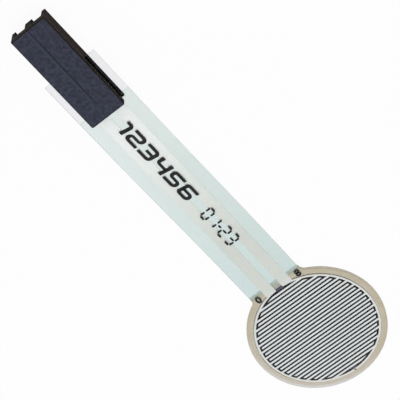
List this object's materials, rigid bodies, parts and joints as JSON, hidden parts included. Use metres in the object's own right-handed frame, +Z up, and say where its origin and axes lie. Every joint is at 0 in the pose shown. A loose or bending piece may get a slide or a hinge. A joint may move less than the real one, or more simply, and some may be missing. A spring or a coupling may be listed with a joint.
{
  "type": "force sensing resistor",
  "caption": "Thin round pressure sensor with interleaved silver fingers on a clear film, whose flat tail ends in a slotted socket housing.",
  "frame": {"origin": "centre of the round head, on its back face", "axes": "+X along the tail towards the connector, +Y to the left of the tail, +Z up out of the sensing face"},
  "size_m": [0.0641, 0.018, 0.0026],
  "materials": {
    "base_film": "smoky polyester film seen against the dark ink",
    "carbon_ink": "matt dark resistive ink",
    "spacer_adhesive": "beige adhesive film",
    "silver_ink": "matt printed silver",
    "clear_film": "clear polyester film",
    "cover_print": "pale green translucent print",
    "black_housing": "black moulded plastic",
    "contact_metal": "tin plated sheet metal"
  },
  "bodies": {
    "root": {"base_film": "base_film", "carbon_disc": "carbon_ink", "spacer_ring": "spacer_adhesive", "left_electrode": "silver_ink", "right_electrode": "silver_ink", "top_film": "clear_film", "trace_cover": "cover_print", "connector_housing": "black_housing", "left_contact": "contact_metal", "right_contact": "contact_metal"}
  },
  "joints": []
}
